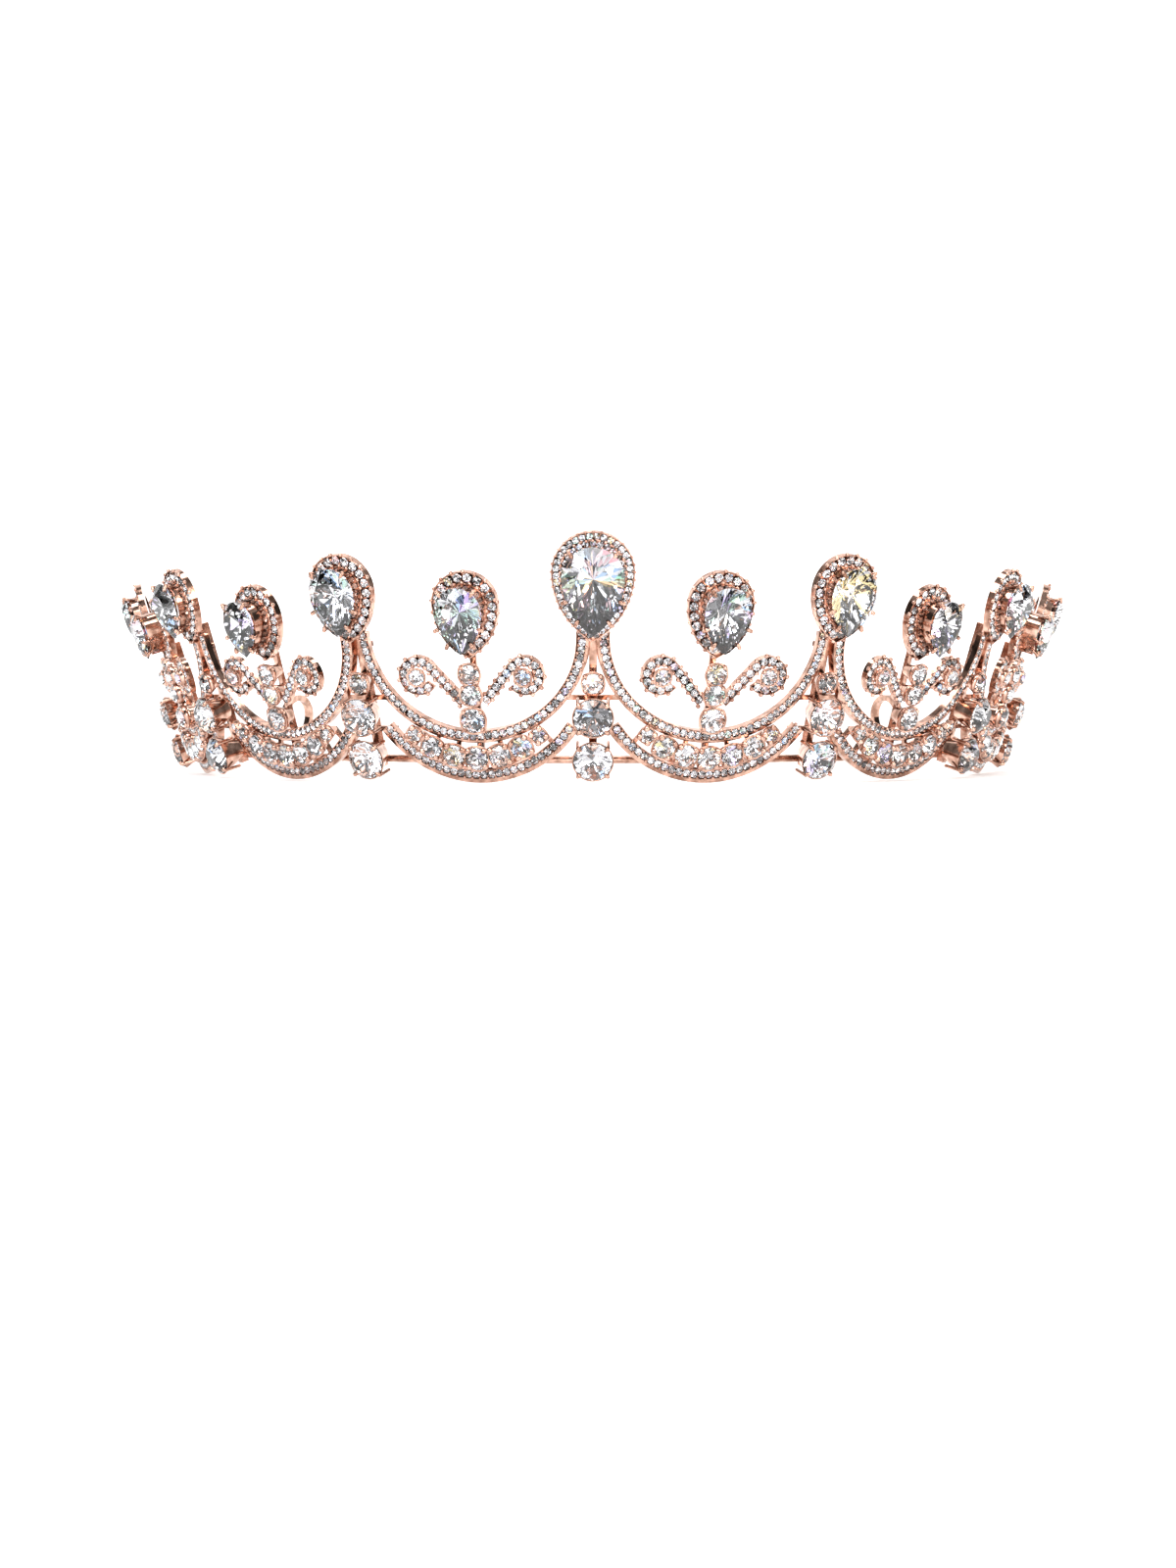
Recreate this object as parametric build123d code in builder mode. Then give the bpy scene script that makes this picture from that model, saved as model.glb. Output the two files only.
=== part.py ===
from build123d import *

import os
from math import acos, asin, atan2, cos, degrees, radians, sin, sqrt, tan

# Bridal tiara in rose-gold plated brass, set with pear-cut and round stones.
#
# The front is a band of six scalloped modules on a flared (conical) wall that
# wraps round the front half of the head. A plain wire carries the modules and
# runs on behind the ears, where each end has a flat loop for pins or a ribbon.
#
# Frame: millimetres, +Z up, the front of the tiara faces -Y, +X is to the right
# of someone facing the front. Z = 0 is the plane that the scallops stand on, and
# the origin is the middle of the outline seen from above.
#
# Every module, column and pear setting is built once at the front (angle 0), on
# the plane that touches the flared wall there, and is then turned about the
# vertical axis of the wall. In that plane x is sideways, y is up the wall and
# n is the height outwards from the wall.

# ---------------------------------------------------------------- whole tiara
WALL_RADIUS = 70.0  # of the wall at the height of the lowest column stones
FLARE = 17.6  # lean of the wall away from the head, degrees
MODULE_ANGLE = 28.9  # between two neighbouring columns, degrees
MODULES_PER_SIDE = 3
STAND_HEIGHT = 3.884  # of the wall's y = 0 circle above the standing plane
CENTRE_BACK = 22.972  # of the wall's vertical axis behind the origin

# ------------------------------------------------------- strips with pave rows
STRIP_BACK = -0.6
STRIP_FRONT = 0.55
CHANNEL_FLOOR = -0.05
CHANNEL_HALF = 0.68
THIN_WALL = 0.14
UPPER_RIM = 0.42  # smooth rims along the outer curves of the scallops
LOWER_RIM = 0.62
PAVE_SLACK = 0.03  # of a pave row in its channel
PAVE_TOP = 0.5

# ------------------------------------------------------------- upper scallops
UPPER_HALF_WIDTH = 17.4
UPPER_TOP = 19.8
UPPER_DEPTH = 16.1

# ------------------------------------------------- lower scallops and crescent
LOWER_CENTRE = 15.6  # height of the centre of the lower arcs
LOWER_RADIUS = 18.2
LOWER_HALF_ANGLE = 53.5
CRESCENT_RADIUS = 15.25
CRESCENT_STONES = ((0.0, 1.8), (13.7, 1.74), (27.4, 1.68), (40.0, 1.15))
CRESCENT_GIRDLE = 1.5
BAR_BACK = -1.2
BAR_WIDTH = 0.9
BAR_HEIGHT = 0.57

# -------------------------------------------------------------------- columns
COLUMN_STONES = ((0.45, 3.0, 3.0), (7.4, 3.0, 3.0), (12.4, 1.6, 1.5))  # y, radius, girdle
CROSS_BARS = ((4.4, 4.3), (9.5, 5.0), (18.2, 2.3))  # y, half width
CROSS_BAR_HEIGHT = 0.8
CROSS_BAR_FRONT = -0.8
SPINE_BACK = -1.9
SPINE_HALF_WIDTH = 0.6
SPINE_BOTTOM = -1.9

# ------------------------------------------------------------ flowers (fleurs)
STEM_STONES = ((6.5, 1.9, 1.6), (10.55, 1.6, 1.5), (13.85, 1.6, 1.5))  # y, radius, girdle
ROD_HALF_WIDTH = 0.5
SCROLL_START = (1.62, 9.0)
SCROLL_CENTRE = (8.45, 13.4)
SCROLL_RADIUS = 2.35
SCROLL_END_ANGLE = -143.0
SCROLL_HALF_WIDTH = 0.8
SCROLL_CHANNEL_HALF = 0.66
SCROLL_BACK = -0.5
SCROLL_STONE_RADIUS = 1.25
SCROLL_GIRDLE = 1.5

# -------------------------------------------------------------- pear settings
# name of the size: (half width, length, height y of the middle, girdle height)
PEAK_PEARS = (
    (4.75, 13.7, 27.75, 3.5),
    (3.95, 10.8, 26.2, 3.1),
    (3.5, 9.3, 25.7, 2.9),
    (3.1, 8.2, 25.2, 2.7),
)
FLEUR_PEARS = ((3.7, 10.4, 23.1, 4.3), (3.4, 9.1, 22.25, 4.2), (2.9, 7.8, 21.6, 3.9))
HALO_OUTER = 1.55  # of the halo beyond the stone's outline
HALO_INNER = -0.4
CENTRE_HALO_INNER = -0.95  # the middle setting has two rows of pave
PEAK_LIFT = 1.2  # of the peak halos, which sit on the scallops' ends
BEZEL_WALL = 0.4
PRONG_RADIUS = 0.27
PRONG_TIP_RADIUS = 0.4
PRONG_PLACES = (0.09, 0.19, 0.40)  # share of the outline's length up from the tip

# -------------------------------------------------------------------- stones
PAVILION_ANGLE = 40.0
CROWN_ANGLE = 34.0
TABLE_SHARE = 0.56
CUP_WALL = 0.2
CUP_FOOT_SHARE = 0.55
SEAT_SLACK = 0.02
PEAR_SIDES = 16

# ------------------------------------------------------- carrying wire, loops
WIRE_RADIUS = 0.6
WIRE_Y = -1.1
WIRE_HALF_ANGLE = 89.95
ARM_ANGLE = 29.0
ARM_RISE = 8.5  # tilt of the arms behind the ears, degrees
LOOP_HOLE_RADIUS = 3.2
LOOP_OUTER_RADIUS = 4.3
LOOP_THICKNESS = 1.2

os.makedirs("parts", exist_ok=True)

LEAN_SIN, LEAN_COS = sin(radians(FLARE)), cos(radians(FLARE))
PANEL = Plane(
    origin=(0, -WALL_RADIUS, 0), x_dir=(1, 0, 0), z_dir=(0, -LEAN_COS, -LEAN_SIN)
)
CENTRED_UP = (Align.CENTER, Align.CENTER, Align.MIN)


# ================================================================ placing tools
def turned(angle):
    """The move from the front to `angle` round the wall, in the tiara's frame."""
    return Location((0, CENTRE_BACK, STAND_HEIGHT)) * Location((0, 0, 0), (0, 0, angle))


def flat_seat(x, y, n=0.0):
    """A place on the flat plane that touches the wall."""
    return PANEL.location * Location((x, y, n))


def wall_seat(x, y, n=0.0):
    """The place on the curved wall behind the point (x, y) of the flat plane."""
    height = y
    for _ in range(4):
        ring = WALL_RADIUS + height * LEAN_SIN + n * LEAN_COS
        turn = asin(x / ring)
        bulge = (ring * cos(turn) - WALL_RADIUS) * LEAN_SIN
        height = (y - bulge + n * LEAN_SIN * LEAN_COS) / LEAN_COS**2
    return Location((0, 0, 0), (0, 0, degrees(turn))) * flat_seat(0, height, n)


def wall_cone(n):
    """A solid cone whose surface is the wall raised by n."""
    low, high = -9.0, 26.0
    slope = tan(radians(FLARE))
    radius = WALL_RADIUS + n / LEAN_COS
    with BuildPart(Plane.XY.offset(low)) as cone:
        Cone(radius + low * slope, radius + high * slope, high - low, align=CENTRED_UP)
    return cone.part


def wall_layer(back, front):
    """The layer of the flared wall between two heights."""
    outside = wall_cone(front)
    inside = wall_cone(back)
    with BuildPart() as layer:
        add(outside)
        add(inside, mode=Mode.SUBTRACT)
    return layer.part


STRIP_LAYER = wall_layer(STRIP_BACK, STRIP_FRONT)
CHANNEL_LAYER = wall_layer(CHANNEL_FLOOR, STRIP_FRONT + 1)
PAVE_LAYER = wall_layer(CHANNEL_FLOOR + PAVE_SLACK, PAVE_TOP)


def save(shape, name):
    """Writes one node."""
    shape.label = name
    export_step(shape, f"parts/{name}.step")


def several(solid, places):
    """Separate copies of one solid, as one node."""
    return Compound([solid.moved(place) for place in places])


# ====================================================================== stones
def round_stone(radius):
    """A round stone turned from its profile. Its girdle's lower edge is at z = 0."""
    depth = radius * tan(radians(PAVILION_ANGLE)) * 0.94
    crown = radius * (1 - TABLE_SHARE) * tan(radians(CROWN_ANGLE))
    girdle = 0.08 * radius
    table = radius * TABLE_SHARE
    with BuildPart() as stone:
        with BuildSketch(Plane.XZ):
            Polygon(
                (0, -depth),
                (radius, 0),
                (radius, girdle),
                (table, girdle + crown),
                (0, girdle + crown),
                align=None,
            )
        revolve(axis=Axis.Z)
    return stone.part.solid()


# ============================================================ pear-shaped lines
def flank_radius(half_width, length):
    """Radius of the arcs that run from a pear's widest points to its tip."""
    drop = length - half_width
    return (half_width**2 + drop**2) / (2 * half_width)


def pear_line(half_width, length, offset=0.0):
    """A pear outline round the origin, from its tip (down) round and back."""
    flank = flank_radius(half_width, length) + offset
    inset = flank_radius(half_width, length) - half_width
    head = length / 2 - half_width
    bend = acos(inset / flank) / 2
    tip = (0, head - flank * sin(2 * bend))
    middle = (flank * cos(bend) - inset, head - flank * sin(bend))
    wide = half_width + offset
    with BuildLine() as outline:
        ThreePointArc(tip, middle, (wide, head))
        CenterArc((0, head), wide, 0, 180)
        ThreePointArc((-wide, head), (-middle[0], middle[1]), tip)
    return Wire(outline.line.edges())


def pear_ring(half_width, length, outer, inner):
    """In a sketch: the ring between two offsets of the pear outline."""
    make_face(pear_line(half_width, length, outer).edges())
    make_face(pear_line(half_width, length, inner).edges(), mode=Mode.SUBTRACT)


def pear_stone(half_width, length):
    """A faceted pear stone. Its girdle's lower edge is at z = 0."""
    outline = pear_line(half_width, length)
    corners = [outline @ (i / PEAR_SIDES) for i in range(PEAR_SIDES)]
    depth = half_width * tan(radians(PAVILION_ANGLE)) * 0.94
    crown = half_width * (1 - TABLE_SHARE) * tan(radians(CROWN_ANGLE))
    girdle = 0.06 * half_width
    heart = Vector(0, (length / 2 - half_width) * 0.6)
    levels = ((-depth, 0.06), (0, 1), (girdle, 1), (girdle + crown, TABLE_SHARE))
    with BuildPart() as stone:
        for height, share in levels:
            with BuildSketch(Plane.XY.offset(height)):
                Polygon(*[heart + (corner - heart) * share for corner in corners], align=None)
        loft(ruled=True)
    return stone.part.solid()


# ==================================================================== settings
def cup_bodies(places, foot):
    """In a part: the outsides of conical cups at (place, stone radius, girdle height)."""
    for place, radius, girdle in places:
        with Locations(place * Location((0, 0, foot))):
            Cone(radius * CUP_FOOT_SHARE, radius + CUP_WALL, girdle - foot, align=CENTRED_UP)


def cup_seats(places):
    """In a part: the conical seats of those cups, cut out."""
    for place, radius, girdle in places:
        depth = radius * tan(radians(PAVILION_ANGLE))
        with Locations(place * Location((0, 0, girdle - depth))):
            Cone(0, radius + SEAT_SLACK, depth, align=CENTRED_UP, mode=Mode.SUBTRACT)
        with Locations(place * Location((0, 0, girdle))):
            Cylinder(radius + SEAT_SLACK, radius, align=CENTRED_UP, mode=Mode.SUBTRACT)


def corner_prongs(places, foot):
    """In a part: four upright prongs round each cup's stone."""
    for place, radius, girdle in places:
        with Locations(place * Location((0, 0, foot))):
            with PolarLocations(radius + PRONG_RADIUS + 0.02, 4, start_angle=45):
                Cylinder(PRONG_RADIUS, girdle + 0.45 - foot, align=CENTRED_UP)


def upper_strip(offset_in, offset_out):
    """In a sketch: the band along the upper scallop between two offsets from its pave row."""
    with Locations((0, UPPER_TOP)):
        Ellipse(UPPER_HALF_WIDTH + offset_out, UPPER_DEPTH + offset_out)
        Ellipse(UPPER_HALF_WIDTH - offset_in, UPPER_DEPTH - offset_in, mode=Mode.SUBTRACT)
        Rectangle(60, 40, align=(Align.CENTER, Align.MIN), mode=Mode.SUBTRACT)


def lower_strip(radius_in, radius_out):
    """In a sketch: an arc band of the lower scallop."""
    reach = 2 * radius_out
    side = (reach * sin(radians(LOWER_HALF_ANGLE)), -reach * cos(radians(LOWER_HALF_ANGLE)))
    wedge = ((0, 0), side, (0, -2 * reach), (-side[0], side[1]))
    with Locations((0, LOWER_CENTRE)):
        Circle(radius_out)
        Circle(radius_in, mode=Mode.SUBTRACT)
        Polygon(*wedge, align=None, mode=Mode.INTERSECT)


def strip_solid(band, channel):
    """A scallop strip: a band of the wall with a channel for its pave row."""
    with BuildPart() as room:
        with BuildSketch(PANEL):
            channel()
        extrude(amount=6, both=True)
        add(CHANNEL_LAYER, mode=Mode.INTERSECT)
    with BuildPart() as strip:
        with BuildSketch(PANEL):
            band()
        extrude(amount=6, both=True)
        add(STRIP_LAYER, mode=Mode.INTERSECT)
        add(room.part, mode=Mode.SUBTRACT)
    return strip.part.solid()


def pave_row(band):
    """The row of pave stones in a scallop's channel, as one strip."""
    with BuildPart() as row:
        with BuildSketch(PANEL):
            band()
        extrude(amount=6, both=True)
        add(PAVE_LAYER, mode=Mode.INTERSECT)
    return row.part.solid()


PAVE_HALF = CHANNEL_HALF - PAVE_SLACK
WALL_SIDE = CHANNEL_HALF + THIN_WALL

upper_scallop = strip_solid(
    lambda: upper_strip(WALL_SIDE, CHANNEL_HALF + UPPER_RIM),
    lambda: upper_strip(CHANNEL_HALF, CHANNEL_HALF),
)
lower_scallop = strip_solid(
    lambda: lower_strip(LOWER_RADIUS - WALL_SIDE, LOWER_RADIUS + CHANNEL_HALF + LOWER_RIM),
    lambda: lower_strip(LOWER_RADIUS - CHANNEL_HALF, LOWER_RADIUS + CHANNEL_HALF),
)
upper_pave = pave_row(lambda: upper_strip(PAVE_HALF, PAVE_HALF))
lower_pave = pave_row(lambda: lower_strip(LOWER_RADIUS - PAVE_HALF, LOWER_RADIUS + PAVE_HALF))


# ========================================================= crescent of stones
def on_lower_arc(radius, angle):
    """A point at `angle` from straight down about the centre of the lower arcs."""
    return radius * sin(radians(angle)), LOWER_CENTRE - radius * cos(radians(angle))


crescent_stones = [
    (side * angle, radius)
    for angle, radius in CRESCENT_STONES
    for side in ((1,) if angle == 0 else (-1, 1))
]
crescent_places = [
    (wall_seat(*on_lower_arc(CRESCENT_RADIUS, angle)), radius, CRESCENT_GIRDLE)
    for angle, radius in crescent_stones
]

with BuildPart() as crescent_cups:
    ordered = sorted(crescent_stones)
    for first, second in zip(ordered, ordered[1:]):
        middle_angle = (first[0] + second[0]) / 2
        chord = 2 * CRESCENT_RADIUS * sin(radians(second[0] - first[0]) / 2)
        seat = wall_seat(*on_lower_arc(CRESCENT_RADIUS, middle_angle), BAR_BACK)
        with Locations(seat * Location((0, 0, 0), (0, 0, middle_angle))):
            Box(chord + 1.0, BAR_WIDTH, BAR_HEIGHT, align=CENTRED_UP)
    for angle, radius in crescent_stones:
        tab = LOWER_RADIUS - CRESCENT_RADIUS + (3.2 if abs(angle) < 30 else 0)
        seat = wall_seat(*on_lower_arc(LOWER_RADIUS - tab / 2, angle), BAR_BACK)
        with Locations(seat * Location((0, 0, 0), (0, 0, angle))):
            Box(BAR_WIDTH * 0.8, tab, BAR_HEIGHT, align=CENTRED_UP)
    cup_bodies(crescent_places, BAR_BACK + 0.2)
    cup_seats(crescent_places)


# ===================================================================== columns
def column_frame(top, side):
    """The upright behind three cups, with cross bars on one side or on both (0)."""
    bar_align = (Align.CENTER, Align.MIN, Align.MAX)[side], Align.CENTER
    places = [(flat_seat(0, y), radius, girdle) for y, radius, girdle in COLUMN_STONES]
    with BuildPart() as frame:
        with BuildSketch(PANEL.offset(SPINE_BACK)):
            with Locations((0, SPINE_BOTTOM)):
                Rectangle(2 * SPINE_HALF_WIDTH, top - SPINE_BOTTOM, align=(Align.CENTER, Align.MIN))
        extrude(amount=STRIP_BACK - SPINE_BACK)
        with BuildSketch(PANEL.offset(BAR_BACK)):
            for y, half_width in CROSS_BARS:
                with Locations((0, y)):
                    width = half_width if side else 2 * half_width
                    Rectangle(width, CROSS_BAR_HEIGHT, align=bar_align)
        extrude(amount=CROSS_BAR_FRONT - BAR_BACK)
        cup_bodies(places, STRIP_BACK - 0.3)
        corner_prongs(places[:2], 0.6)
        cup_seats(places)
    return frame.part.solid()


# ================================================================ pear settings
def halo_frame(half_width, length, girdle, double_row):
    """A pave halo with a raised pear bezel and six ball-tipped prongs."""
    inner = CENTRE_HALO_INNER if double_row else HALO_INNER
    bezel_in = inner - BEZEL_WALL
    bezel_top = girdle + bezel_in * tan(radians(PAVILION_ANGLE))
    inner_prong = pear_line(half_width, length, inner - BEZEL_WALL / 2)
    outer_prong = pear_line(half_width, length, PRONG_RADIUS + 0.25)
    with BuildPart() as frame:
        with BuildSketch(Plane.XY.offset(STRIP_BACK)):
            pear_ring(half_width, length, HALO_OUTER, bezel_in)
        extrude(amount=STRIP_FRONT - STRIP_BACK)
        with BuildSketch(Plane.XY.offset(CHANNEL_FLOOR)):
            pear_ring(half_width, length, HALO_OUTER - THIN_WALL, inner + THIN_WALL)
        extrude(amount=2, mode=Mode.SUBTRACT)
        with BuildSketch(Plane.XY.offset(STRIP_BACK)):
            pear_ring(half_width, length, inner, bezel_in)
        extrude(amount=bezel_top - STRIP_BACK)
        for share in PRONG_PLACES:
            for place in (share, 1 - share):
                start = inner_prong @ place + Vector(0, 0, bezel_top - 0.75)
                tip = outer_prong @ place + Vector(0, 0, girdle + 0.3)
                lean = Plane(origin=start, z_dir=tip - start)
                with BuildSketch(lean):
                    Circle(PRONG_RADIUS)
                extrude(amount=(tip - start).length)
                with Locations(tip):
                    Sphere(PRONG_TIP_RADIUS * 0.8)
    return frame.part.solid()


def halo_row(half_width, length, double_row):
    """The pave stones of a halo, as one ring, about the pear's middle."""
    inner = CENTRE_HALO_INNER if double_row else HALO_INNER
    inset = THIN_WALL + PAVE_SLACK
    with BuildPart() as ring:
        with BuildSketch(Plane.XY.offset(CHANNEL_FLOOR + PAVE_SLACK)):
            pear_ring(half_width, length, HALO_OUTER - inset, inner + inset)
        extrude(amount=PAVE_TOP - CHANNEL_FLOOR)
    return ring.part.solid()


# ===================================================================== flowers
def fleur_stem(halo_tip):
    """The rod behind a flower, with the cups of its three stem stones."""
    places = [(flat_seat(0, y), radius, girdle) for y, radius, girdle in STEM_STONES]
    top = halo_tip + 3.0
    with BuildPart() as stem:
        with BuildSketch(PANEL.offset(SPINE_BACK)):
            with Locations((0, SPINE_BOTTOM)):
                Rectangle(2 * ROD_HALF_WIDTH, top - SPINE_BOTTOM, align=(Align.CENTER, Align.MIN))
        extrude(amount=BAR_BACK - SPINE_BACK)
        with BuildSketch(PANEL.offset(BAR_BACK)):
            with Locations((0, halo_tip + 0.4)):
                Rectangle(2 * ROD_HALF_WIDTH, top - halo_tip - 0.4, align=(Align.CENTER, Align.MIN))
        extrude(amount=STRIP_BACK - BAR_BACK)
        cup_bodies(places, BAR_BACK - 0.2)
        cup_seats(places)
    return stem.part.solid()


def scroll_line():
    """The right-hand scroll: a straight run that curls round its centre stone."""
    start, centre = Vector(*SCROLL_START), Vector(*SCROLL_CENTRE)
    reach = centre - start
    heading = degrees(atan2(reach.Y, reach.X) + asin(SCROLL_RADIUS / reach.length))
    with BuildLine() as line:
        curl = CenterArc(SCROLL_CENTRE, SCROLL_RADIUS, heading + 90, SCROLL_END_ANGLE - heading - 90)
        Line(SCROLL_START, curl @ 0)
    return Wire(line.line.edges())


def scroll_solid():
    """The right-hand scroll as a channel for its pave row, with its centre cup."""
    place = [(flat_seat(*SCROLL_CENTRE), SCROLL_STONE_RADIUS, SCROLL_GIRDLE)]
    with BuildPart() as scroll:
        with BuildSketch(PANEL.offset(SCROLL_BACK)):
            trace(scroll_line().edges(), line_width=2 * SCROLL_HALF_WIDTH)
        extrude(amount=STRIP_FRONT - SCROLL_BACK)
        with BuildSketch(PANEL.offset(CHANNEL_FLOOR)):
            trace(scroll_line().edges(), line_width=2 * SCROLL_CHANNEL_HALF)
        extrude(amount=2, mode=Mode.SUBTRACT)
        with BuildSketch(PANEL.offset(SCROLL_BACK)):
            with Locations((SCROLL_CENTRE[0] + SCROLL_RADIUS / 2, SCROLL_CENTRE[1])):
                Rectangle(SCROLL_RADIUS, 1.0)
        extrude(amount=CHANNEL_FLOOR - SCROLL_BACK)
        cup_bodies(place, SCROLL_BACK)
        cup_seats(place)
    return scroll.part.solid()


def scroll_row():
    """The row of pave stones along the right-hand scroll, as one strip."""
    with BuildPart() as row:
        with BuildSketch(PANEL.offset(CHANNEL_FLOOR + PAVE_SLACK)):
            trace(scroll_line().edges(), line_width=2 * (SCROLL_CHANNEL_HALF - PAVE_SLACK))
        extrude(amount=PAVE_TOP - CHANNEL_FLOOR)
    return row.part.solid()


# ======================================================== carrying wire, arms
wire_seat = flat_seat(0, WIRE_Y, SPINE_BACK - WIRE_RADIUS).position
wire_ring = -wire_seat.Y
with BuildPart() as carrying_wire:
    with BuildSketch(Plane.YZ):
        with Locations((wire_seat.Y, wire_seat.Z)):
            Circle(WIRE_RADIUS)
    revolve(axis=Axis.Z, revolution_arc=2 * WIRE_HALF_ANGLE)

# The right-hand arm is built level on the +X side and then tilted about X.
loop_turn = ARM_ANGLE + degrees(LOOP_OUTER_RADIUS / wire_ring)
loop_centre = (wire_ring * cos(radians(loop_turn)), wire_ring * sin(radians(loop_turn)), 0)
loop_outwards = (cos(radians(loop_turn)), sin(radians(loop_turn)), 0)
loop_plane = Plane(origin=loop_centre, x_dir=(0, 0, 1), z_dir=loop_outwards)
with BuildPart() as rear_arm:
    with BuildSketch(Plane.XZ):
        with Locations((wire_ring, 0)):
            Circle(WIRE_RADIUS)
    revolve(axis=Axis.Z, revolution_arc=ARM_ANGLE)
    with BuildSketch(loop_plane.offset(-LOOP_THICKNESS / 2)):
        Circle(LOOP_OUTER_RADIUS)
    extrude(amount=LOOP_THICKNESS)
    with BuildSketch(loop_plane.offset(-LOOP_THICKNESS)):
        Circle(LOOP_HOLE_RADIUS)
    extrude(amount=2 * LOOP_THICKNESS, mode=Mode.SUBTRACT)

# ============================================================ writing the nodes
COLUMN_NAMES = {0: "centre"}
MODULE_NAMES = {}
for step in range(1, MODULES_PER_SIDE + 1):
    for side, word in ((-1, "left"), (1, "right")):
        COLUMN_NAMES[side * step] = f"{word}_{step}"
        MODULE_NAMES[side * (step - 0.5)] = f"{word}_{step}"

save(carrying_wire.part.solid().rotate(Axis.Z, -WIRE_HALF_ANGLE).moved(turned(0)), "carrying_wire")
arm_tilt = Location((0, 0, wire_seat.Z), (ARM_RISE, 0, 0))
right_arm = rear_arm.part.solid().moved(turned(0) * arm_tilt)
save(right_arm, "rear_arm_right")
save(right_arm.mirror(Plane.YZ), "rear_arm_left")

pear_stones, halo_pave, scallop_pave, scroll_pave = [], [], [], []
scroll, scroll_fill = scroll_solid(), scroll_row()
scroll_pair = [scroll, scroll.mirror(Plane.YZ)]
fill_pair = [scroll_fill, scroll_fill.mirror(Plane.YZ)]

for step, name in COLUMN_NAMES.items():
    half_width, length, middle, girdle = PEAK_PEARS[abs(step)]
    place = turned(step * MODULE_ANGLE)
    heart = place * flat_seat(0, middle, PEAK_LIFT)
    side = -step // abs(step) if abs(step) == MODULES_PER_SIDE else 0
    save(column_frame(middle - length / 2 + 1.0, side).moved(place), f"column_frame_{name}")
    save(halo_frame(half_width, length, girdle, step == 0).moved(heart), f"peak_halo_{name}")
    pear_stones.append(pear_stone(half_width, length).moved(heart * Location((0, 0, girdle))))
    halo_pave.append(halo_row(half_width, length, step == 0).moved(heart))

for step, name in MODULE_NAMES.items():
    half_width, length, middle, girdle = FLEUR_PEARS[int(abs(step))]
    place = turned(step * MODULE_ANGLE)
    heart = place * flat_seat(0, middle)
    flank = flank_radius(half_width, length)
    halo_drop = sqrt((flank + HALO_OUTER) ** 2 - (flank - half_width) ** 2)
    halo_tip = middle + length / 2 - half_width - halo_drop
    save(upper_scallop.moved(place), f"upper_scallop_{name}")
    save(lower_scallop.moved(place), f"lower_scallop_{name}")
    save(crescent_cups.part.solid().moved(place), f"crescent_cups_{name}")
    save(fleur_stem(halo_tip).moved(place), f"fleur_stem_{name}")
    save(Compound([half.moved(place) for half in scroll_pair]), f"fleur_scrolls_{name}")
    save(halo_frame(half_width, length, girdle, False).moved(heart), f"fleur_halo_{name}")
    pear_stones.append(pear_stone(half_width, length).moved(heart * Location((0, 0, girdle))))
    halo_pave.append(halo_row(half_width, length, False).moved(heart))
    scallop_pave += [upper_pave.moved(place), lower_pave.moved(place)]
    scroll_pave += [half.moved(place) for half in fill_pair]

column_turns = [turned(step * MODULE_ANGLE) for step in COLUMN_NAMES]
module_turns = [turned(step * MODULE_ANGLE) for step in MODULE_NAMES]


def repeated(turns, seats):
    """The stones of the same (place, radius, girdle) seats at every turn."""
    return Compound(
        [
            round_stone(radius).moved(turn * seat * Location((0, 0, girdle)))
            for seat, radius, girdle in seats
            for turn in turns
        ]
    )


column_seats = [(flat_seat(0, y), radius, girdle) for y, radius, girdle in COLUMN_STONES]
fleur_seats = [(flat_seat(0, y), radius, girdle) for y, radius, girdle in STEM_STONES]
fleur_seats += [
    (flat_seat(side * SCROLL_CENTRE[0], SCROLL_CENTRE[1]), SCROLL_STONE_RADIUS, SCROLL_GIRDLE)
    for side in (-1, 1)
]
save(repeated(column_turns, column_seats), "column_stones")
save(repeated(module_turns, fleur_seats), "fleur_stones")
save(repeated(module_turns, crescent_places), "crescent_stones")
save(Compound(pear_stones), "pear_stones")
save(Compound(halo_pave), "halo_pave")
save(Compound(scallop_pave), "scallop_pave")
save(Compound(scroll_pave), "scroll_pave")
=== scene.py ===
"""Looks of the bridal tiara: faceted stones, pave beads, claws and polished rose gold on the CAD frame."""

import random
from math import acos, asin, atan2, cos, degrees, pi, radians, sin, sqrt, tan

import bmesh
import bpy
from mathutils import Matrix, Vector


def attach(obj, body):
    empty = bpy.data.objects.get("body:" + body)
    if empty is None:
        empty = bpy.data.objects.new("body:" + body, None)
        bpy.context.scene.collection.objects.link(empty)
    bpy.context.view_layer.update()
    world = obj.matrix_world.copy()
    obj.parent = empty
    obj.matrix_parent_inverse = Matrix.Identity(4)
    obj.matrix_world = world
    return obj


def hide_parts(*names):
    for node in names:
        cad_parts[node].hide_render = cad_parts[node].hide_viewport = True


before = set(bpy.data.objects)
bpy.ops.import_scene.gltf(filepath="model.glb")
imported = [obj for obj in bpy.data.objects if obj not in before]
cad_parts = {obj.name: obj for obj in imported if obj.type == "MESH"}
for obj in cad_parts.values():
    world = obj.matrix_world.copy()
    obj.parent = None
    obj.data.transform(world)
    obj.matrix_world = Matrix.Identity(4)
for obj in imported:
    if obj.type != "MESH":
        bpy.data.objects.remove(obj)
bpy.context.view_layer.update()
random.seed(11)

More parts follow.
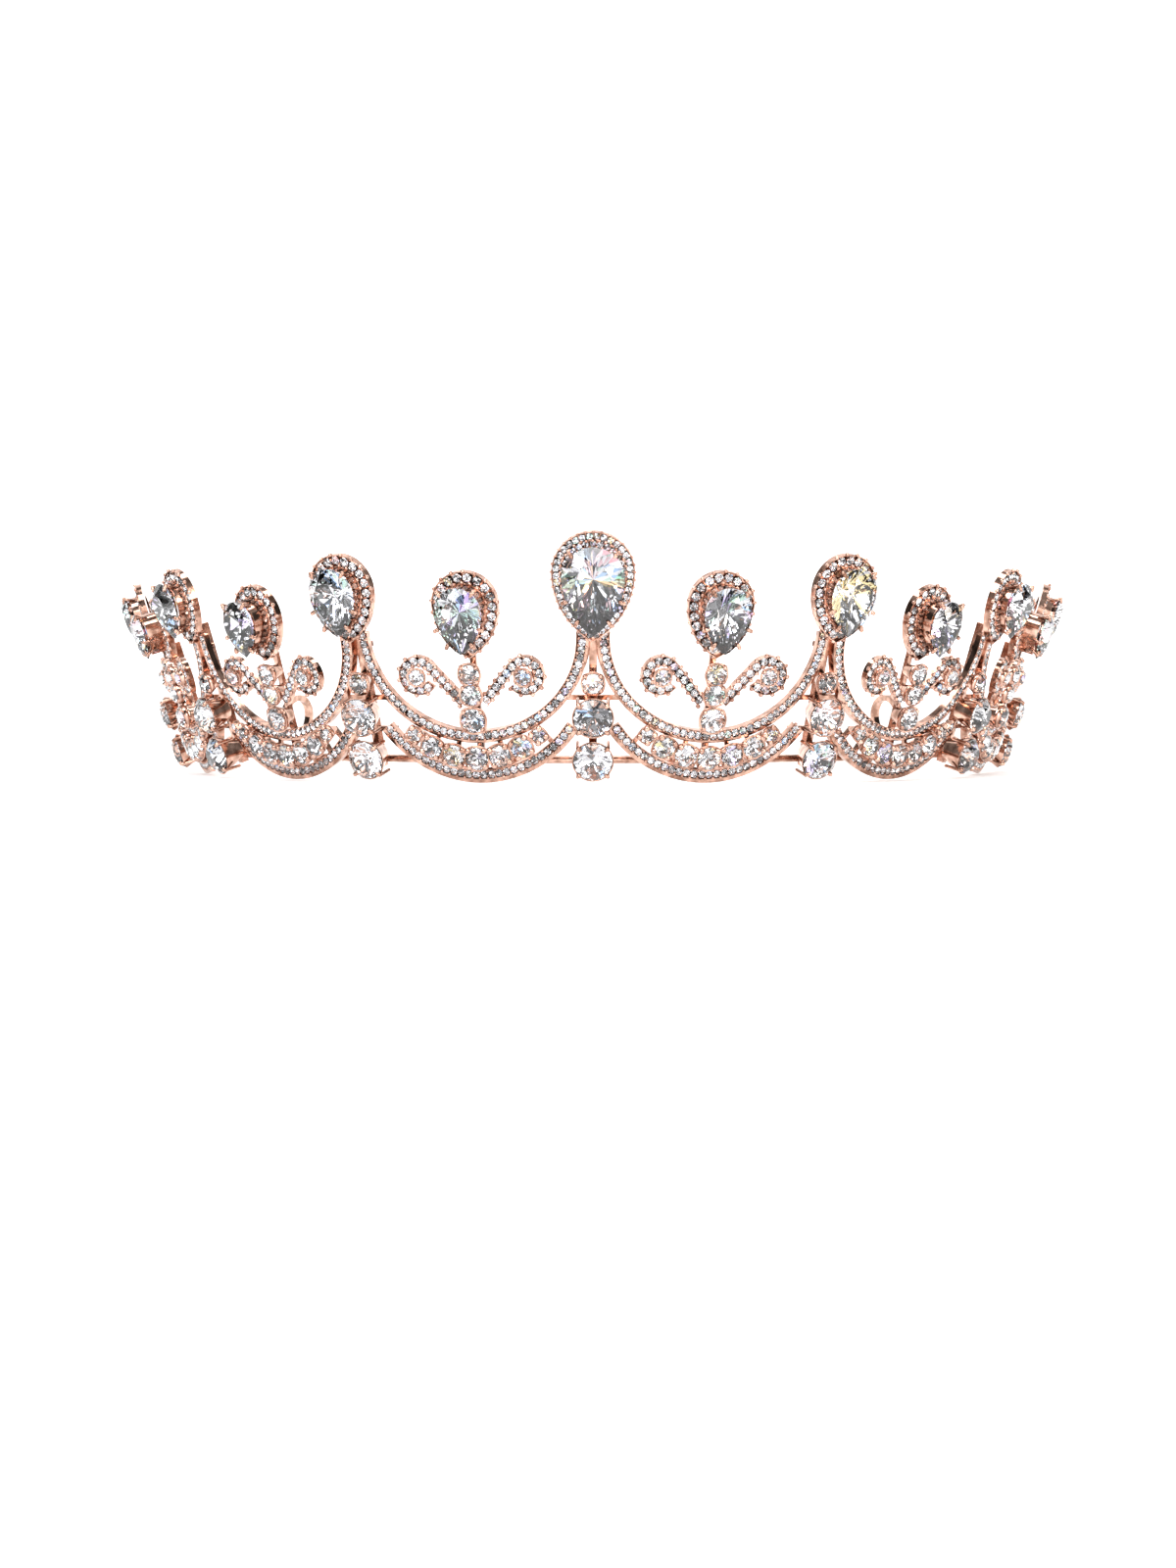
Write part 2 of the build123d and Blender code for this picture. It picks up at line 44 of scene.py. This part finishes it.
# ------------------------------------------------- the frame's own dimensions, mm
WALL_RADIUS, FLARE, MODULE_ANGLE = 70.0, 17.6, 28.9
STAND_HEIGHT, CENTRE_BACK = 3.884, 22.972
UPPER_HALF_WIDTH, UPPER_TOP, UPPER_DEPTH = 17.4, 19.8, 16.1
LOWER_CENTRE, LOWER_RADIUS, LOWER_HALF_ANGLE = 15.6, 18.2, 53.5
CRESCENT_RADIUS, CRESCENT_GIRDLE = 15.25, 1.5
CRESCENT_STONES = ((0.0, 1.8), (13.7, 1.74), (27.4, 1.68), (40.0, 1.15))
COLUMN_STONES = ((0.45, 3.0, 3.0), (7.4, 3.0, 3.0), (12.4, 1.6, 1.5))
STEM_STONES = ((6.5, 1.9, 1.6), (10.55, 1.6, 1.5), (13.85, 1.6, 1.5))
SCROLL_START, SCROLL_CENTRE = (1.62, 9.0), (8.45, 13.4)
SCROLL_RADIUS, SCROLL_END, SCROLL_STONE, SCROLL_GIRDLE = 2.35, -143.0, 1.25, 1.5
# pear settings from the middle outwards: half width, length, height of the middle, girdle height
PEAK_PEARS = (
    (4.75, 13.7, 27.75, 3.5),
    (3.95, 10.8, 26.2, 3.1),
    (3.5, 9.3, 25.7, 2.9),
    (3.1, 8.2, 25.2, 2.7),
)
FLEUR_PEARS = ((3.7, 10.4, 23.1, 4.3), (3.4, 9.1, 22.25, 4.2), (2.9, 7.8, 21.6, 3.9))
PEAK_LIFT = 1.2
HALO_INNER, CENTRE_HALO_INNER, BEZEL_MIDDLE = -0.4, -0.95, 0.2
PRONG_PLACES = (0.09, 0.19, 0.40)  # share of the pear outline's length up from the tip
PAVILION_ANGLE = 40
PAVE_STONE_SEAT, PAVE_BEAD_SEAT = 0.46, 0.44  # heights above the wall
SCALLOP_PITCH, SCROLL_PITCH = 1.18, 1.3
HALO_ROWS = ((0.6, 1.5, 0.7),)  # offset from the stone's outline, pitch, radius
CENTRE_HALO_ROWS = ((-0.28, 1.08, 0.5), (0.84, 1.08, 0.52))
COLUMNS = range(-3, 4)
MODULES = (-2.5, -1.5, -0.5, 0.5, 1.5, 2.5)
LEAN_SIN, LEAN_COS = sin(radians(FLARE)), cos(radians(FLARE))


def spin(axis, angle):
    return Matrix.Rotation(radians(angle), 4, axis)


def turned(step):
    return Matrix.Translation((0, CENTRE_BACK, STAND_HEIGHT)) @ spin("Z", step * MODULE_ANGLE)


PANEL = Matrix.Translation((0, -WALL_RADIUS, 0)) @ spin("X", 90 + FLARE)


def flat_seat(x, y, n=0.0):
    return PANEL @ Matrix.Translation((x, y, n))


def wall_seat(x, y, n=0.0):
    height = y
    for _ in range(4):
        ring = WALL_RADIUS + height * LEAN_SIN + n * LEAN_COS
        turn = asin(x / ring)
        bulge = (ring * cos(turn) - WALL_RADIUS) * LEAN_SIN
        height = (y - bulge + n * LEAN_SIN * LEAN_COS) / LEAN_COS**2
    return spin("Z", degrees(turn)) @ flat_seat(0, height, n)


# ------------------------------------------------------------------- materials
def node_tree(name):
    material = bpy.data.materials.new(name)
    material.use_nodes = True
    nodes, links = material.node_tree.nodes, material.node_tree.links
    return material, nodes, links, nodes["Principled BSDF"]


def gold(name, dark, light, roughness):
    """Polished plating whose colour and gloss drift slightly, with softened edges."""
    material, nodes, links, shader = node_tree(name)
    noise = nodes.new("ShaderNodeTexNoise")
    noise.inputs["Scale"].default_value = 650.0
    noise.inputs["Detail"].default_value = 4.0
    coords = nodes.new("ShaderNodeTexCoord")
    links.new(coords.outputs["Object"], noise.inputs["Vector"])
    ramp = nodes.new("ShaderNodeValToRGB")
    ramp.color_ramp.elements[0].position, ramp.color_ramp.elements[1].position = 0.35, 0.65
    ramp.color_ramp.elements[0].color = (*dark, 1)
    ramp.color_ramp.elements[1].color = (*light, 1)
    links.new(noise.outputs["Fac"], ramp.inputs["Fac"])
    links.new(ramp.outputs["Color"], shader.inputs["Base Color"])
    gloss = nodes.new("ShaderNodeMapRange")
    gloss.inputs["To Min"].default_value = roughness * 0.7
    gloss.inputs["To Max"].default_value = roughness * 1.5
    links.new(noise.outputs["Fac"], gloss.inputs["Value"])
    links.new(gloss.outputs["Result"], shader.inputs["Roughness"])
    shader.inputs["Metallic"].default_value = 1.0
    bump = nodes.new("ShaderNodeBump")
    bump.inputs["Strength"].default_value = 0.08
    bump.inputs["Distance"].default_value = 0.00012
    links.new(noise.outputs["Fac"], bump.inputs["Height"])
    edge = nodes.new("ShaderNodeBevel")
    edge.samples = 3
    edge.inputs["Radius"].default_value = 0.00012
    links.new(edge.outputs["Normal"], bump.inputs["Normal"])
    links.new(bump.outputs["Normal"], shader.inputs["Normal"])
    return material


def crystal(name):
    """Clear cut stone: colourless, highly refracting."""
    material, nodes, links, shader = node_tree(name)
    shader.inputs["Base Color"].default_value = (0.98, 0.985, 1.0, 1)
    shader.inputs["Roughness"].default_value = 0.0
    shader.inputs["IOR"].default_value = 1.75
    shader.inputs["Transmission Weight"].default_value = 1.0
    noise = nodes.new("ShaderNodeTexNoise")
    noise.inputs["Scale"].default_value = 900.0
    tint = nodes.new("ShaderNodeMapRange")
    tint.inputs["To Min"].default_value = 0.0
    tint.inputs["To Max"].default_value = 0.02
    links.new(noise.outputs["Fac"], tint.inputs["Value"])
    links.new(tint.outputs["Result"], shader.inputs["Roughness"])
    return material


def foil(name):
    """Mirror backing of a stone; each facet's colour comes from the mesh: the foil's own silver on most,
    painted dark reflections and painted fire on the rest.
    """
    material, nodes, links, shader = node_tree(name)
    tint = nodes.new("ShaderNodeAttribute")
    tint.attribute_name = "tint"
    noise = nodes.new("ShaderNodeTexNoise")
    noise.inputs["Scale"].default_value = 1400.0
    shade = nodes.new("ShaderNodeMapRange")
    shade.inputs["To Min"].default_value = 0.8
    shade.inputs["To Max"].default_value = 1.05
    links.new(noise.outputs["Fac"], shade.inputs["Value"])
    toned = nodes.new("ShaderNodeVectorMath")
    toned.operation = "SCALE"
    links.new(tint.outputs["Color"], toned.inputs[0])
    links.new(shade.outputs["Result"], toned.inputs["Scale"])
    links.new(toned.outputs["Vector"], shader.inputs["Base Color"])
    shader.inputs["Metallic"].default_value = 1.0
    shader.inputs["Roughness"].default_value = 0.04
    return material


GOLD = gold("rose_gold", (0.31, 0.165, 0.115), (0.80, 0.51, 0.40), 0.10)
# The beads use a lighter copy of the rose gold: a painted highlight for the light that the small beads
# catch.
GOLD_BEAD_PAINTED_HIGHLIGHT = gold("rose_gold_beads_painted_highlight", (0.40, 0.22, 0.165), (0.88, 0.60, 0.49), 0.09)
CRYSTAL = crystal("cut_crystal")
FOIL_WITH_PAINTED_LIGHT = foil("stone_foil_painted_reflections")


# ---------------------------------------------------------------- mesh building
class Piece:
    """One visible piece gathered from many small parts, in millimetres of the frame."""

    def __init__(self, name, *materials):
        self.name, self.materials = name, materials
        self.mesh = bmesh.new()
        self.tint = self.mesh.faces.layers.float_vector.new("tint3")

    def face(self, corners, slot=0, tint=(1, 1, 1), smooth=False):
        made = self.mesh.faces.new(corners)
        made.material_index = slot
        made.smooth = smooth
        made[self.tint] = tint

    def points(self, place, coordinates):
        return [self.mesh.verts.new((place @ Vector(c)) * 0.001) for c in coordinates]

    def finish(self, slot, *nodes):
        bmesh.ops.recalc_face_normals(self.mesh, faces=self.mesh.faces)
        data = bpy.data.meshes.new(self.name)
        tints = [tuple(f[self.tint]) for f in self.mesh.faces]
        self.mesh.faces.layers.float_vector.remove(self.tint)
        self.mesh.to_mesh(data)
        self.mesh.free()
        # per-face colours: on the stones' foil they are painted dark reflections and painted fire,
        # elsewhere plain white
        colour = data.color_attributes.new("tint", "FLOAT_COLOR", "CORNER")
        for polygon in data.polygons:
            for loop in polygon.loop_indices:
                colour.data[loop].color = (*tints[polygon.index], 1)
        for material in self.materials:
            data.materials.append(material)
        made = bpy.data.objects.new(self.name, data)
        bpy.context.collection.objects.link(made)
        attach(made, "root")
        if nodes:
            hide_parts(*nodes)
        return made


CUT_JITTER = 7e-5  # unevenness of the pavilion's corners, metres for each millimetre of half width
# Painted fire: coloured flashes of dispersed light, painted as colours on single mirror facets of the
# foil.
PAINTED_FIRE = (
    (1.0, 0.82, 0.45),
    (0.62, 0.85, 0.74),
    (0.50, 0.70, 1.0),
    (0.78, 0.68, 1.0),
    (1.0, 0.72, 0.76),
)


def facet_silver_and_painted_light(painted_fire_share):
    """Mostly the foil's own silver; the grey and dark facets are painted dark reflections, and a share of
    coloured ones are painted fire.
    """
    if random.random() < painted_fire_share:
        return random.choice(PAINTED_FIRE)
    grey = random.choice((1.0, 1.0, 1.0, 1.0, 0.9, 0.7, 0.2))
    return (grey, grey, grey * 1.02)


def cut_stone(piece, place, outline, heart, half_width, painted_fire_share):
    """A brilliant cut over any outline of 2n points: table, stars, kites, girdle, pavilion."""
    crown = half_width * 0.36
    depth = half_width * 0.78
    girdle = half_width * 0.07
    count = len(outline)

    def ring(share, height, picks):
        spots = [heart + (Vector(outline[i % count]) - heart) * share for i in picks]
        return piece.points(place, [(p.x, p.y, height) for p in spots])

    half = count // 2
    table = ring(0.58, girdle + crown, range(0, count, 2))
    middle = ring(0.82, girdle + crown * 0.52, range(1, count, 2))
    top = ring(1.0, girdle, range(count))
    bottom = ring(1.0, 0.0, range(count))
    inner = ring(0.48, -depth * 0.56, range(1, count, 2))
    for corner in inner:
        shift = [random.uniform(-1, 1) for _ in range(3)]
        corner.co += Vector(shift) * half_width * CUT_JITTER
    culet = piece.points(place, [(heart.x, heart.y, -depth)])[0]
    piece.face(table)
    for i in range(half):
        j = (i + 1) % half
        a, b, c = top[2 * i], top[2 * i + 1], top[(2 * i + 2) % count]
        piece.face((table[i], table[j], middle[i]))
        piece.face((table[i], middle[i], a, middle[i - 1]))
        piece.face((middle[i], a, b))
        piece.face((middle[i], b, c))
        d, e, f = bottom[2 * i], bottom[2 * i + 1], bottom[(2 * i + 2) % count]
        piece.face((a, d, e, b))
        piece.face((b, e, f, c))
        # pavilion facets on the foil: the foil's own silver on most, painted dark reflections and painted
        # fire on the rest
        piece.face((d, inner[i], e), 1, facet_silver_and_painted_light(painted_fire_share))
        piece.face((e, inner[i], f), 1, facet_silver_and_painted_light(painted_fire_share))
        piece.face((d, inner[i - 1], culet, inner[i]), 1, facet_silver_and_painted_light(painted_fire_share))


def circle(radius, count, start=0.0):
    angles = [start + 2 * pi * i / count for i in range(count)]
    return [Vector((radius * cos(angle), radius * sin(angle))) for angle in angles]


def round_cut(piece, place, radius, count=16, painted_fire_share=0.12):
    cut_stone(piece, place, circle(radius, count, random.random()), Vector((0, 0)), radius, painted_fire_share)


def bead(piece, place, radius, around=8, levels=4, stretch=1.0):
    """A small polished ball, cut off flat below."""
    rows = []
    for level in range(levels):
        angle = radians(-25 + 115 * level / levels)
        flat = radius * cos(angle)
        height = radius * stretch * sin(angle)
        turns = [2 * pi * k / around for k in range(around)]
        rows.append(piece.points(place, [(flat * cos(turn), flat * sin(turn), height) for turn in turns]))
    tip = piece.points(place, [(0, 0, radius * stretch)])[0]
    for low, high in zip(rows, rows[1:]):
        for k in range(around):
            piece.face((low[k], low[(k + 1) % around], high[(k + 1) % around], high[k]), smooth=True)
    for k in range(around):
        piece.face((rows[-1][k], rows[-1][(k + 1) % around], tip), smooth=True)
    piece.face(list(reversed(rows[0])))


def tube(piece, place, path, radii, around=8):
    """A round bar along a list of points, with a radius for each."""
    rings = []
    for i, point in enumerate(path):
        ahead = Vector(path[min(i + 1, len(path) - 1)]) - Vector(path[max(i - 1, 0)])
        if i == 0:
            side = ahead.orthogonal().normalized()
        else:
            side = (side - ahead * (side.dot(ahead) / ahead.length_squared)).normalized()
        up = ahead.cross(side).normalized()
        turns = [2 * pi * k / around for k in range(around)]
        ring = [Vector(point) + (side * cos(turn) + up * sin(turn)) * radii[i] for turn in turns]
        rings.append(piece.points(place, ring))
    for low, high in zip(rings, rings[1:]):
        for k in range(around):
            piece.face((low[k], low[(k + 1) % around], high[(k + 1) % around], high[k]), smooth=True)
    piece.face(list(reversed(rings[0])))
    piece.face(rings[-1])


# --------------------------------------------------------------- pear outlines
def pear_point(half_width, length, offset, share):
    """A point at a share of the way round an offset pear outline, from the tip, tip down."""
    drop = length - half_width
    flank = (half_width**2 + drop**2) / (2 * half_width)
    inset = flank - half_width
    flank += offset
    head = length / 2 - half_width
    bend = acos(inset / flank)
    side, top = flank * bend, (half_width + offset) * pi
    run = share * (2 * side + top)
    if run < side:
        angle = bend - run / flank
        return Vector((flank * cos(angle) - inset, head - flank * sin(angle)))
    if run < side + top:
        angle = (run - side) / (half_width + offset)
        return Vector(((half_width + offset) * cos(angle), head + (half_width + offset) * sin(angle)))
    angle = (run - side - top) / flank
    return Vector((inset - flank * cos(angle), head - flank * sin(angle)))


def pear_length(half_width, length, offset):
    drop = length - half_width
    flank = (half_width**2 + drop**2) / (2 * half_width)
    bend = acos((flank - half_width) / (flank + offset))
    return 2 * (flank + offset) * bend + (half_width + offset) * pi


def towards(direction):
    """The turn about z that points x along a flat direction."""
    return Matrix.Rotation(atan2(direction[1], direction[0]), 4, "Z")


# ------------------------------------------------------------------ pave rows
def pave_rows(stones, beads, places, radius, turn, pitch, edge, size):
    """Stones on seats with x along the row, with a bead on each edge in every gap."""
    for place in places:
        round_cut(stones, turn @ place @ Matrix.Translation((0, 0, PAVE_STONE_SEAT)), radius, 8, 0.05)
        for across in (-edge, edge):
            spot = Matrix.Translation((pitch / 2, across, PAVE_BEAD_SEAT))
            bead(beads, turn @ place @ spot, size, 8, 4, 1.1)


def ellipse_seats(pitch):
    """Seats along the upper scallop's row, evenly spaced."""
    fine = [
        Vector((UPPER_HALF_WIDTH * cos(a), UPPER_TOP + UPPER_DEPTH * sin(a)))
        for a in (pi + pi * i / 400 for i in range(401))
    ]
    total = sum((b - a).length for a, b in zip(fine, fine[1:]))
    count = int(total / pitch)
    seats, run, wanted = [], 0.0, 0.5 * total / count
    for a, b in zip(fine, fine[1:]):
        run += (b - a).length
        if run >= wanted and len(seats) < count:
            seats.append(wall_seat(b.x, b.y) @ towards(b - a))
            wanted += total / count
    return seats


def arc_seats(pitch):
    total = 2 * radians(LOWER_HALF_ANGLE) * LOWER_RADIUS
    count = int(total / pitch)
    seats = []
    for i in range(count):
        angle = LOWER_HALF_ANGLE * (2 * (i + 0.5) / count - 1)
        spot = (LOWER_RADIUS * sin(radians(angle)), LOWER_CENTRE - LOWER_RADIUS * cos(radians(angle)))
        seats.append(wall_seat(*spot) @ spin("Z", angle))
    return seats


def scroll_seats(pitch, side):
    start, centre = Vector(SCROLL_START), Vector(SCROLL_CENTRE)
    reach = centre - start
    heading = atan2(reach.y, reach.x) + asin(SCROLL_RADIUS / reach.length)
    straight = sqrt(reach.length_squared - SCROLL_RADIUS**2)
    sweep = heading + pi / 2 - radians(SCROLL_END)
    total = straight + sweep * SCROLL_RADIUS
    count = int(total / pitch)
    seats = []
    for i in range(count):
        run = (i + 0.5) * total / count
        if run < straight:
            spot, turn = start + Vector((cos(heading), sin(heading))) * run, heading
        else:
            angle = heading + pi / 2 - (run - straight) / SCROLL_RADIUS
            spot = centre + Vector((cos(angle), sin(angle))) * SCROLL_RADIUS
            turn = angle - pi / 2
        facing = Matrix.Rotation(turn if side > 0 else pi - turn, 4, "Z")
        seats.append(flat_seat(side * spot.x, spot.y) @ facing)
    return seats


def halo_seats(half_width, length, offset, pitch):
    count = int(pear_length(half_width, length, offset) / pitch)
    seats = []
    for i in range(count):
        here = pear_point(half_width, length, offset, (i + 0.5) / count)
        ahead = pear_point(half_width, length, offset, (i + 0.6) / count)
        seats.append(Matrix.Translation((here.x, here.y, 0)) @ towards(ahead - here))
    return seats


scallop_stones = Piece("scallop_pave_stones", CRYSTAL, FOIL_WITH_PAINTED_LIGHT)
scallop_beads = Piece("scallop_pave_beads", GOLD_BEAD_PAINTED_HIGHLIGHT)
scroll_stones = Piece("scroll_pave_stones", CRYSTAL, FOIL_WITH_PAINTED_LIGHT)
scroll_beads = Piece("scroll_pave_beads", GOLD_BEAD_PAINTED_HIGHLIGHT)
halo_stones = Piece("halo_pave_stones", CRYSTAL, FOIL_WITH_PAINTED_LIGHT)
halo_beads = Piece("halo_pave_beads", GOLD_BEAD_PAINTED_HIGHLIGHT)
upper_row, lower_row = ellipse_seats(SCALLOP_PITCH), arc_seats(SCALLOP_PITCH)
for step in MODULES:
    for row in (upper_row, lower_row):
        sizes = {"radius": 0.59, "pitch": 1.19, "edge": 0.6, "size": 0.27}
        pave_rows(scallop_stones, scallop_beads, row, turn=turned(step), **sizes)
    for side in (-1, 1):
        row = scroll_seats(SCROLL_PITCH, side)
        sizes = {"radius": 0.64, "pitch": 1.34 * side, "edge": 0.78, "size": 0.38}
        pave_rows(scroll_stones, scroll_beads, row, turn=turned(step), **sizes)

settings = [(step, *PEAK_PEARS[abs(step)], PEAK_LIFT) for step in COLUMNS]
settings += [(step, *FLEUR_PEARS[int(abs(step))], 0.0) for step in MODULES]
pears = Piece("pear_cut_stones", CRYSTAL, FOIL_WITH_PAINTED_LIGHT)
claws = Piece("pear_claws", GOLD)
for step, half_width, length, middle, girdle, lift in settings:
    heart = turned(step) @ flat_seat(0, middle, lift)
    for offset, pitch, radius in CENTRE_HALO_ROWS if step == 0 else HALO_ROWS:
        seats = halo_seats(half_width, length, offset, pitch)
        edge = radius * (1.28 if offset > 0 else 1.1)
        pave_rows(halo_stones, halo_beads, seats, radius, heart, pitch, edge, radius * 0.5)
    outline = [pear_point(half_width, length, 0, i / 24) for i in range(24)]
    centre = Vector((0, (length / 2 - half_width) * 0.75))
    cut_stone(pears, heart @ Matrix.Translation((0, 0, girdle)), outline, centre, half_width, 0.28)
    bezel = (CENTRE_HALO_INNER if step == 0 else HALO_INNER) - BEZEL_MIDDLE
    for share in PRONG_PLACES:
        for place in (share, 1 - share):
            foot = pear_point(half_width, length, bezel, place)
            rim = pear_point(half_width, length, 0.52, place)
            grip = pear_point(half_width, length, -0.35, place)
            base = girdle + (bezel - BEZEL_MIDDLE) * tan(radians(PAVILION_ANGLE)) - 0.75
            path = [(foot.x, foot.y, base), (rim.x, rim.y, girdle + 0.3), (grip.x, grip.y, girdle + 0.66)]
            tube(claws, heart, path, (0.29, 0.31, 0.2))
            bead(claws, heart @ Matrix.Translation((*((rim + grip) / 2), girdle + 0.42)), 0.36, 10, 5)

columns = Piece("column_cut_stones", CRYSTAL, FOIL_WITH_PAINTED_LIGHT)
fleurs = Piece("fleur_cut_stones", CRYSTAL, FOIL_WITH_PAINTED_LIGHT)
crescents = Piece("crescent_cut_stones", CRYSTAL, FOIL_WITH_PAINTED_LIGHT)
corner_beads = Piece("cup_corner_beads", GOLD_BEAD_PAINTED_HIGHLIGHT)


def cup_corners(place, radius, girdle, size, start=45):
    """Four corner beads on a squarish collet that stands round a cup."""
    wall = []
    for height, reach in ((0.25, 0.8), (girdle - 0.12, 1.12)):
        ring = []
        for k in range(24):
            angle = 2 * pi * k / 24
            square = 1 / max(abs(cos(angle)), abs(sin(angle)))
            spread = (radius + 0.12) * reach * (0.72 + 0.28 * min(square, 1.3))
            turn = angle + radians(start - 45)
            ring.append((spread * cos(turn), spread * sin(turn), height))
        wall.append(corner_beads.points(place, ring))
    inner = corner_beads.points(place, [(p.x, p.y, girdle - 0.12) for p in circle(radius, 24)])
    for k in range(24):
        j = (k + 1) % 24
        corner_beads.face((wall[0][k], wall[0][j], wall[1][j], wall[1][k]), smooth=True)
        corner_beads.face((wall[1][k], wall[1][j], inner[j], inner[k]))
    for k in range(4):
        angle = radians(start + 90 * k)
        reach = radius + 0.02
        spot = Matrix.Translation((reach * cos(angle), reach * sin(angle), girdle - 0.05))
        bead(corner_beads, place @ spot, size, 8, 4, 1.2)


for step in COLUMNS:
    for y, radius, girdle in COLUMN_STONES:
        place = turned(step) @ flat_seat(0, y)
        round_cut(columns, place @ Matrix.Translation((0, 0, girdle)), radius - 0.02, 16, 0.12)
        if radius < 2:
            cup_corners(place, radius, girdle, 0.42)
            continue
        for k in range(4):
            angle = radians(45 + 90 * k)
            out = Vector((cos(angle), sin(angle)))
            bends = ((0.28, -0.6), (0.26, 0.35), (-0.42, 0.75))  # beyond the stone, above its girdle
            path = [(*(out * (radius + beyond)), girdle + above) for beyond, above in bends]
            tube(claws, place, path, (0.28, 0.32, 0.2))
            bead(claws, place @ Matrix.Translation((*(out * (radius + 0.02)), girdle + 0.5)), 0.4, 10, 5)

for step in MODULES:
    for y, radius, girdle in STEM_STONES:
        place = turned(step) @ flat_seat(0, y)
        round_cut(fleurs, place @ Matrix.Translation((0, 0, girdle)), radius - 0.02, 16, 0.1)
        cup_corners(place, radius, girdle, 0.4)
    for side in (-1, 1):
        place = turned(step) @ flat_seat(side * SCROLL_CENTRE[0], SCROLL_CENTRE[1])
        round_cut(fleurs, place @ Matrix.Translation((0, 0, SCROLL_GIRDLE)), SCROLL_STONE - 0.02, 16, 0.1)
        cup_corners(place, SCROLL_STONE, SCROLL_GIRDLE, 0.32)
    for angle, radius in CRESCENT_STONES:
        for side in (-1, 1) if angle else (1,):
            turn = radians(side * angle)
            spot = (CRESCENT_RADIUS * sin(turn), LOWER_CENTRE - CRESCENT_RADIUS * cos(turn))
            place = turned(step) @ wall_seat(*spot)
            top = place @ Matrix.Translation((0, 0, CRESCENT_GIRDLE))
            round_cut(crescents, top, radius - 0.02, 16, 0.08)
            cup_corners(place, radius, CRESCENT_GIRDLE, 0.55, 45 + side * angle)

scallop_stones.finish("pave_crystal", "scallop_pave")
scallop_beads.finish("rose_gold")
scroll_stones.finish("pave_crystal", "scroll_pave")
scroll_beads.finish("rose_gold")
halo_stones.finish("pave_crystal", "halo_pave")
halo_beads.finish("rose_gold")
pears.finish("pear_crystal", "pear_stones")
claws.finish("rose_gold")
columns.finish("round_crystal", "column_stones")
fleurs.finish("round_crystal", "fleur_stones")
crescents.finish("round_crystal", "crescent_stones")
corner_beads.finish("rose_gold")

for name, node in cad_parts.items():
    if not node.hide_render:
        node.data.materials.clear()
        node.data.materials.append(GOLD)


# -------------------------------------------------------------- floor and light
def plain(name, colour, strength=0.0, roughness=0.6):
    material, nodes, links, shader = node_tree(name)
    shader.inputs["Base Color"].default_value = (*colour, 1)
    shader.inputs["Roughness"].default_value = roughness
    shader.inputs["Emission Color"].default_value = (*colour, 1)
    shader.inputs["Emission Strength"].default_value = strength
    return material


def sheet(name, corners, material):
    data = bpy.data.meshes.new(name)
    data.from_pydata(corners, [], [(0, 1, 2, 3)])
    data.materials.append(material)
    made = bpy.data.objects.new(name, data)
    bpy.context.collection.objects.link(made)
    return made


GROUND = -0.0002
SIDE, NEAR, FAR, TOP = 3, -1.2, 1.6, 3
floor_corners = [(-SIDE, NEAR, GROUND), (SIDE, NEAR, GROUND), (SIDE, FAR, GROUND), (-SIDE, FAR, GROUND)]
wall_corners = [(-SIDE, FAR, GROUND), (SIDE, FAR, GROUND), (SIDE, FAR, TOP), (-SIDE, FAR, TOP)]
sheet("floor", floor_corners, plain("floor_paper", (0.93, 0.93, 0.93), 0.3))
sheet("backdrop", wall_corners, plain("backdrop_paper", (1, 1, 1), 1.0))
dark = plain("black_flag", (0.01, 0.01, 0.01), 0.0, 0.9)


def standing(name, x, y, width, low, high, material):
    """An upright panel that faces the object."""
    middle = Vector((x, y))
    side = Vector((-y, x)).normalized() * (width / 2)
    a, b = middle - side, middle + side
    flag = sheet(name, [(a.x, a.y, low), (b.x, b.y, low), (b.x, b.y, high), (a.x, a.y, high)], material)
    flag.visible_camera = False
    return flag


standing("flag_left", -0.30, -0.62, 0.16, 0.0, 0.55, dark)
standing("flag_right", 0.36, -0.58, 0.14, 0.0, 0.55, dark)
standing("flag_far_left", -0.62, -0.18, 0.22, 0.0, 0.6, dark)
standing("flag_far_right", 0.64, -0.12, 0.2, 0.0, 0.6, dark)
standing("flag_front_left", -0.1, -0.72, 0.09, 0.06, 0.5, dark)
standing("flag_front_right", 0.13, -0.72, 0.07, 0.06, 0.5, dark)


def softbox(name, place, aim, width, height, power, colour):
    data = bpy.data.lights.new(name, "AREA")
    data.shape, data.size, data.size_y, data.energy = "RECTANGLE", width, height, power
    data.color = colour
    made = bpy.data.objects.new(name, data)
    made.location = place
    made.rotation_euler = (Vector(aim) - Vector(place)).to_track_quat("-Z", "Y").to_euler()
    bpy.context.collection.objects.link(made)


softbox("key", (-0.45, -0.5, 0.6), (0, 0, 0.02), 0.22, 0.5, 3.6, (0.96, 0.98, 1.0))
softbox("fill", (0.5, -0.4, 0.3), (0, 0, 0.02), 0.14, 0.5, 2.0, (1.0, 0.90, 0.80))
softbox("top", (0.0, 0.05, 0.7), (0, 0, 0.0), 0.7, 0.2, 2.4, (1, 1, 1))
softbox("front", (0.05, -0.95, 0.12), (0, 0, 0.02), 0.5, 0.2, 2.2, (1, 1, 1))
softbox("brow", (-0.05, -0.62, 0.7), (0, 0, 0.02), 0.62, 0.3, 3.0, (1, 1, 1))

world = bpy.data.worlds.new("studio")
world.use_nodes = True
world.node_tree.nodes["Background"].inputs["Color"].default_value = (0.98, 0.99, 1.0, 1)
world.node_tree.nodes["Background"].inputs["Strength"].default_value = 0.26
bpy.context.scene.world = world
bpy.context.scene.view_settings.view_transform = "Standard"

camera = bpy.data.cameras.new("camera")
camera.lens, camera.sensor_width, camera.clip_start = 62.85, 36.0, 0.01
view = bpy.data.objects.new("camera", camera)
view.location = (-0.00075, -0.4668, 0.0151)
view.rotation_euler = (radians(90 - 2.07), 0, 0)
bpy.context.collection.objects.link(view)
bpy.context.scene.camera = view
